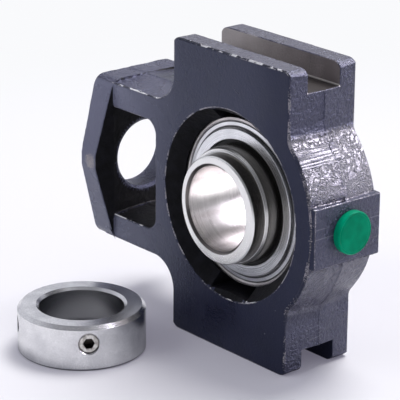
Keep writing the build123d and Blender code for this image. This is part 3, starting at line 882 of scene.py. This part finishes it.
# Studio: a white floor under a large softbox, which hangs above and a little behind the unit, with
# two more behind it on the right that only shiny surfaces show, and a weak one from the front left.
FLOOR_REACH = 6.0
FLOOR_FADE = (0.11, 0.34)
FLOOR_WHITE = (0.70, 0.70, 0.725, 1)
FLOOR_GLOW = (0.80, 0.75, 1.0, 1)
BACKDROP = (0.95, 0.955, 0.975, 1)
ROOM = (0.92, 0.93, 1.0, 1)
ROOM_LIGHT = 0.38
ROOM_BRIGHT_WAY = (-0.765, 0.644, 0.25)
AZIMUTH, ELEVATION, ROLL = radians(49.9275), radians(19.1529), radians(0.42084)
TARGET = Vector((-27.3386, 0.0, -8.3588)) * MM
DISTANCE = 672.727 * MM
FOCUS = 2251.755 / 400
SENSOR = 36.0


def area_lamp(name, direction, distance, size, watts, tint):
    """A square softbox that faces the unit from that direction."""
    lamp = bpy.data.lights.new(name, "AREA")
    lamp.shape = "SQUARE"
    lamp.size = size
    lamp.energy = watts
    lamp.color = tint
    holder = bpy.data.objects.new(name, lamp)
    bpy.context.scene.collection.objects.link(holder)
    direction = Vector(direction).normalized()
    holder.location = direction * distance
    holder.rotation_mode = "QUATERNION"
    holder.rotation_quaternion = direction.to_track_quat("Z", "Y")
    return holder


def direct_rays(tree):
    """The kinds of ray at this point, and 1 for those that the camera sends, also through glass."""
    rays = tree.nodes.new("ShaderNodeLightPath").outputs
    return rays, maths(tree, "ADD", rays["Is Camera Ray"], rays["Is Transmission Ray"], clamp=True)


def mix_shaders(tree, share, first, second):
    """The output of a mix of two shaders."""
    mixed = add(tree, "ShaderNodeMixShader", {"Fac": share})
    tree.links.new(first.outputs[0], mixed.inputs[1])
    tree.links.new(second.outputs[0], mixed.inputs[2])
    return mixed.outputs[0]


area_lamp("key_softbox", (-0.08, 0.40, 0.91), 2.2, 1.1, 47.0, (1.0, 0.985, 0.97))
highlight = area_lamp("highlight_softbox", (0.32, 0.60, 0.73), 2.4, 1.2, 42.0, (0.98, 0.91, 1.0))
highlight.visible_diffuse = False
side_glow = area_lamp("side_softbox", (0.61, 0.61, 0.51), 2.4, 1.5, 56.0, (0.97, 0.90, 1.0))
side_glow.visible_diffuse = False
fill = area_lamp("fill_softbox", (-0.25, -0.80, 0.55), 3.0, 1.8, 18.0, (0.97, 0.98, 1.0))
fill.visible_glossy = False

floor_mesh = bpy.data.meshes.new("studio_floor")
four_ways = ((-1, -1), (1, -1), (1, 1), (-1, 1))
floor_corners = [(x * FLOOR_REACH, y * FLOOR_REACH, cad_box[0].z) for x, y in four_ways]
floor_mesh.from_pydata(floor_corners, [], [(0, 1, 2, 3)])
studio_floor = bpy.data.objects.new("studio_floor", floor_mesh)
bpy.context.scene.collection.objects.link(studio_floor)
floor_white = bpy.data.materials.new("floor_white")
floor_white.use_nodes = True
tree = floor_white.node_tree
tree.nodes.clear()
rays, direct = direct_rays(tree)
glow = times(tree, maths(tree, "MULTIPLY_ADD", rays["Is Glossy Ray"], 0.25, direct), 0.14)
matte = add(tree, "ShaderNodeBsdfDiffuse", {"Color": FLOOR_WHITE})
glowing = add(tree, "ShaderNodeEmission", {"Color": FLOOR_GLOW, "Strength": glow})
lit = add(tree, "ShaderNodeAddShader")
tree.links.new(matte.outputs[0], lit.inputs[0])
tree.links.new(glowing.outputs[0], lit.inputs[1])
# Far off, the floor goes over into the white behind it
away = vector_maths(tree, "LENGTH", tree.nodes.new("ShaderNodeTexCoord").outputs["Object"])
far = times(tree, ramp(tree, away, *FLOOR_FADE), rays["Is Camera Ray"])
white = add(tree, "ShaderNodeEmission", {"Color": BACKDROP, "Strength": 1.0})
surface = tree.nodes.new("ShaderNodeOutputMaterial").inputs["Surface"]
tree.links.new(mix_shaders(tree, far, lit, white), surface)
floor_mesh.materials.append(floor_white)

world = bpy.data.worlds.new("studio")
bpy.context.scene.world = world
world.use_nodes = True
tree = world.node_tree
tree.nodes.clear()
rays, direct = direct_rays(tree)
# The room is dark behind the camera and white behind the object, which shiny surfaces show
way = tree.nodes.new("ShaderNodeTexCoord").outputs["Generated"]
mirrored = ramp(tree, vector_maths(tree, "DOT_PRODUCT", way, ROOM_BRIGHT_WAY), -0.35, 0.55, 0.20, 0.70)
mirrored = maths(tree, "SUBTRACT", mirrored, ROOM_LIGHT)
dim = maths(tree, "MULTIPLY_ADD", mirrored, rays["Is Glossy Ray"], ROOM_LIGHT)
ambient = add(tree, "ShaderNodeBackground", {"Color": ROOM, "Strength": dim})
backdrop = add(tree, "ShaderNodeBackground", {"Color": BACKDROP, "Strength": 1.0})
surface = tree.nodes.new("ShaderNodeOutputWorld").inputs["Surface"]
tree.links.new(mix_shaders(tree, direct, ambient, backdrop), surface)

lens = bpy.data.cameras.new("camera")
lens.sensor_width = SENSOR
lens.lens = FOCUS * SENSOR
lens.clip_start = 0.01
camera = bpy.data.objects.new("camera", lens)
bpy.context.scene.collection.objects.link(camera)
back = Vector((sin(AZIMUTH) * cos(ELEVATION), -cos(AZIMUTH) * cos(ELEVATION), sin(ELEVATION)))
right = Vector((cos(AZIMUTH), sin(AZIMUTH), 0.0))
up = back.cross(right)
right, up = right * cos(ROLL) + up * sin(ROLL), up * cos(ROLL) - right * sin(ROLL)
spot = TARGET + back * DISTANCE
camera.matrix_world = Matrix(
    (
        (right.x, up.x, back.x, spot.x),
        (right.y, up.y, back.y, spot.y),
        (right.z, up.z, back.z, spot.z),
        (0.0, 0.0, 0.0, 1.0),
    )
)
bpy.context.scene.camera = camera
bpy.context.scene.view_settings.view_transform = "Standard"
